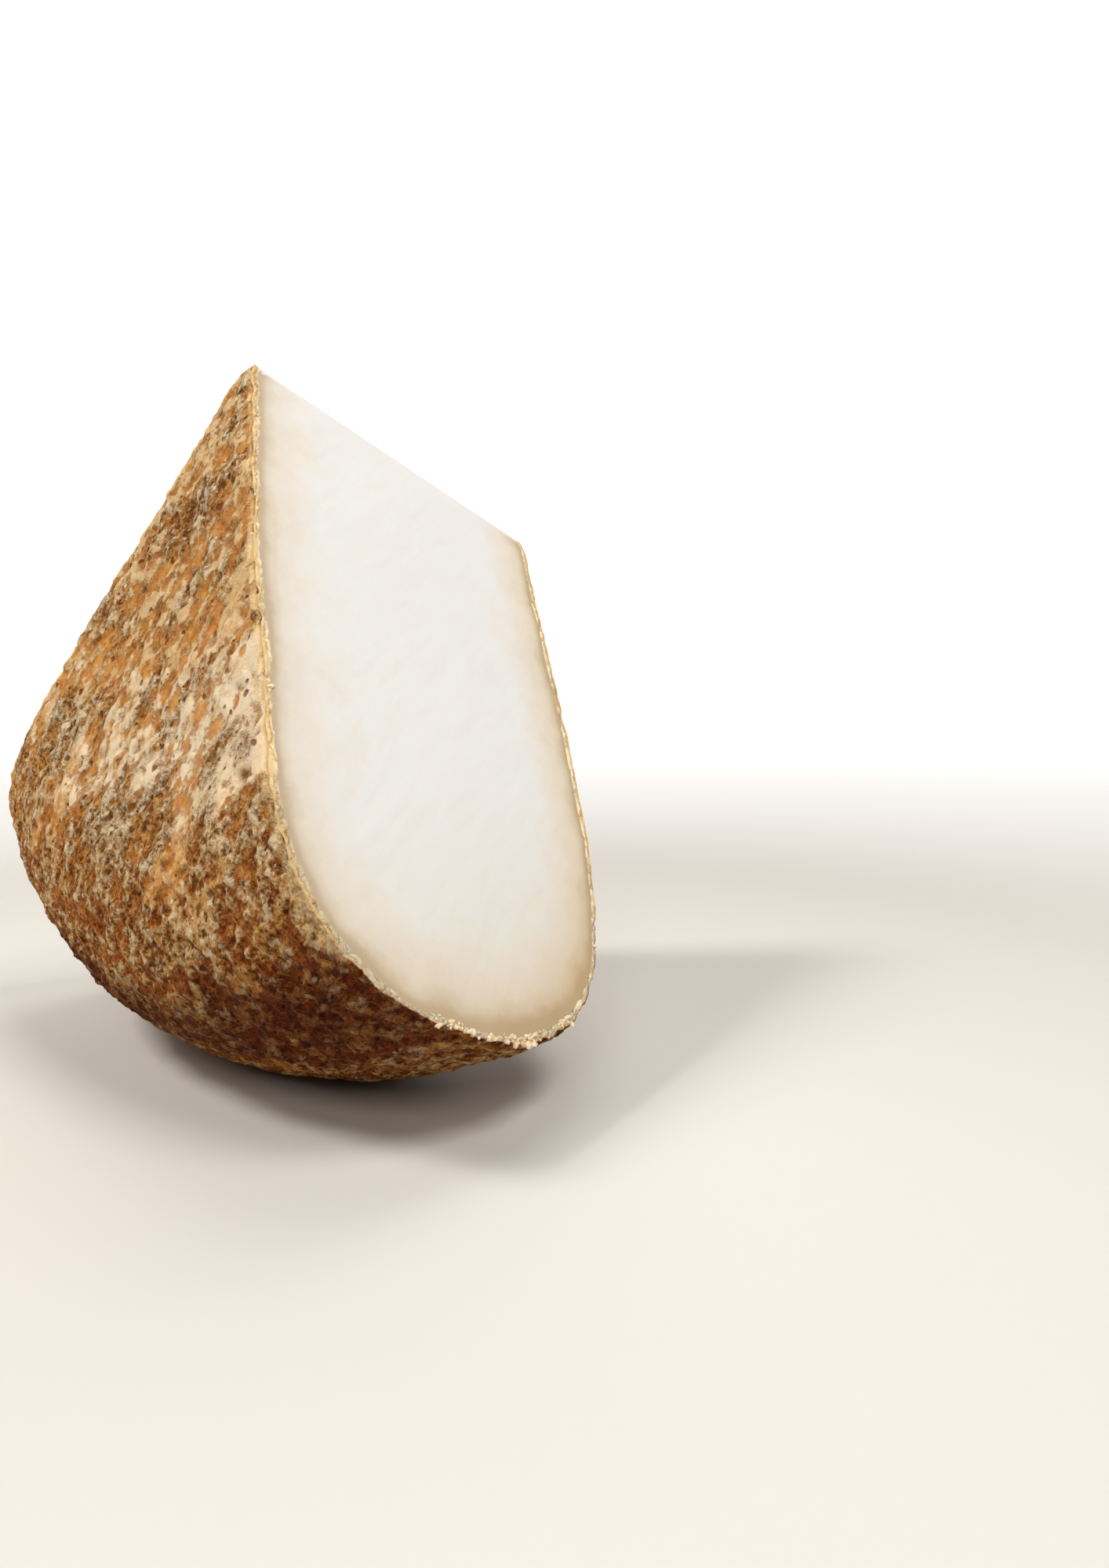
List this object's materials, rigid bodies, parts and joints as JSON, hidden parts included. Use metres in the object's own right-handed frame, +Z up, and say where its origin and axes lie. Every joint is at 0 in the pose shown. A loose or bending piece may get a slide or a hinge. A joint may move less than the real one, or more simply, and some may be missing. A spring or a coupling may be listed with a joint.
{
  "type": "cheese wedge",
  "caption": "Thick wedge cut from a round white cheese with a craggy mottled rind, standing on its rounded rim with a flat cut face and the rind in view.",
  "frame": {"origin": "middle of the small flat spot on the rounded rim that the wedge rests on", "axes": "+Z up; the front cut and the near rind face both show from -Y; the wheel's axis runs from the near face to the far face, heading 46.5 degrees from +X towards +Y and dipping 18.4 degrees"},
  "size_m": [0.1652, 0.166, 0.1719],
  "materials": {
    "paste": "smooth ivory cheese paste, satin, warmer and greyer towards the rind",
    "rind": "dry craggy natural rind, matte, mottled ochre, tan, brown and grey-white"
  },
  "bodies": {
    "root": {"cheese_wedge": "paste"}
  },
  "joints": []
}
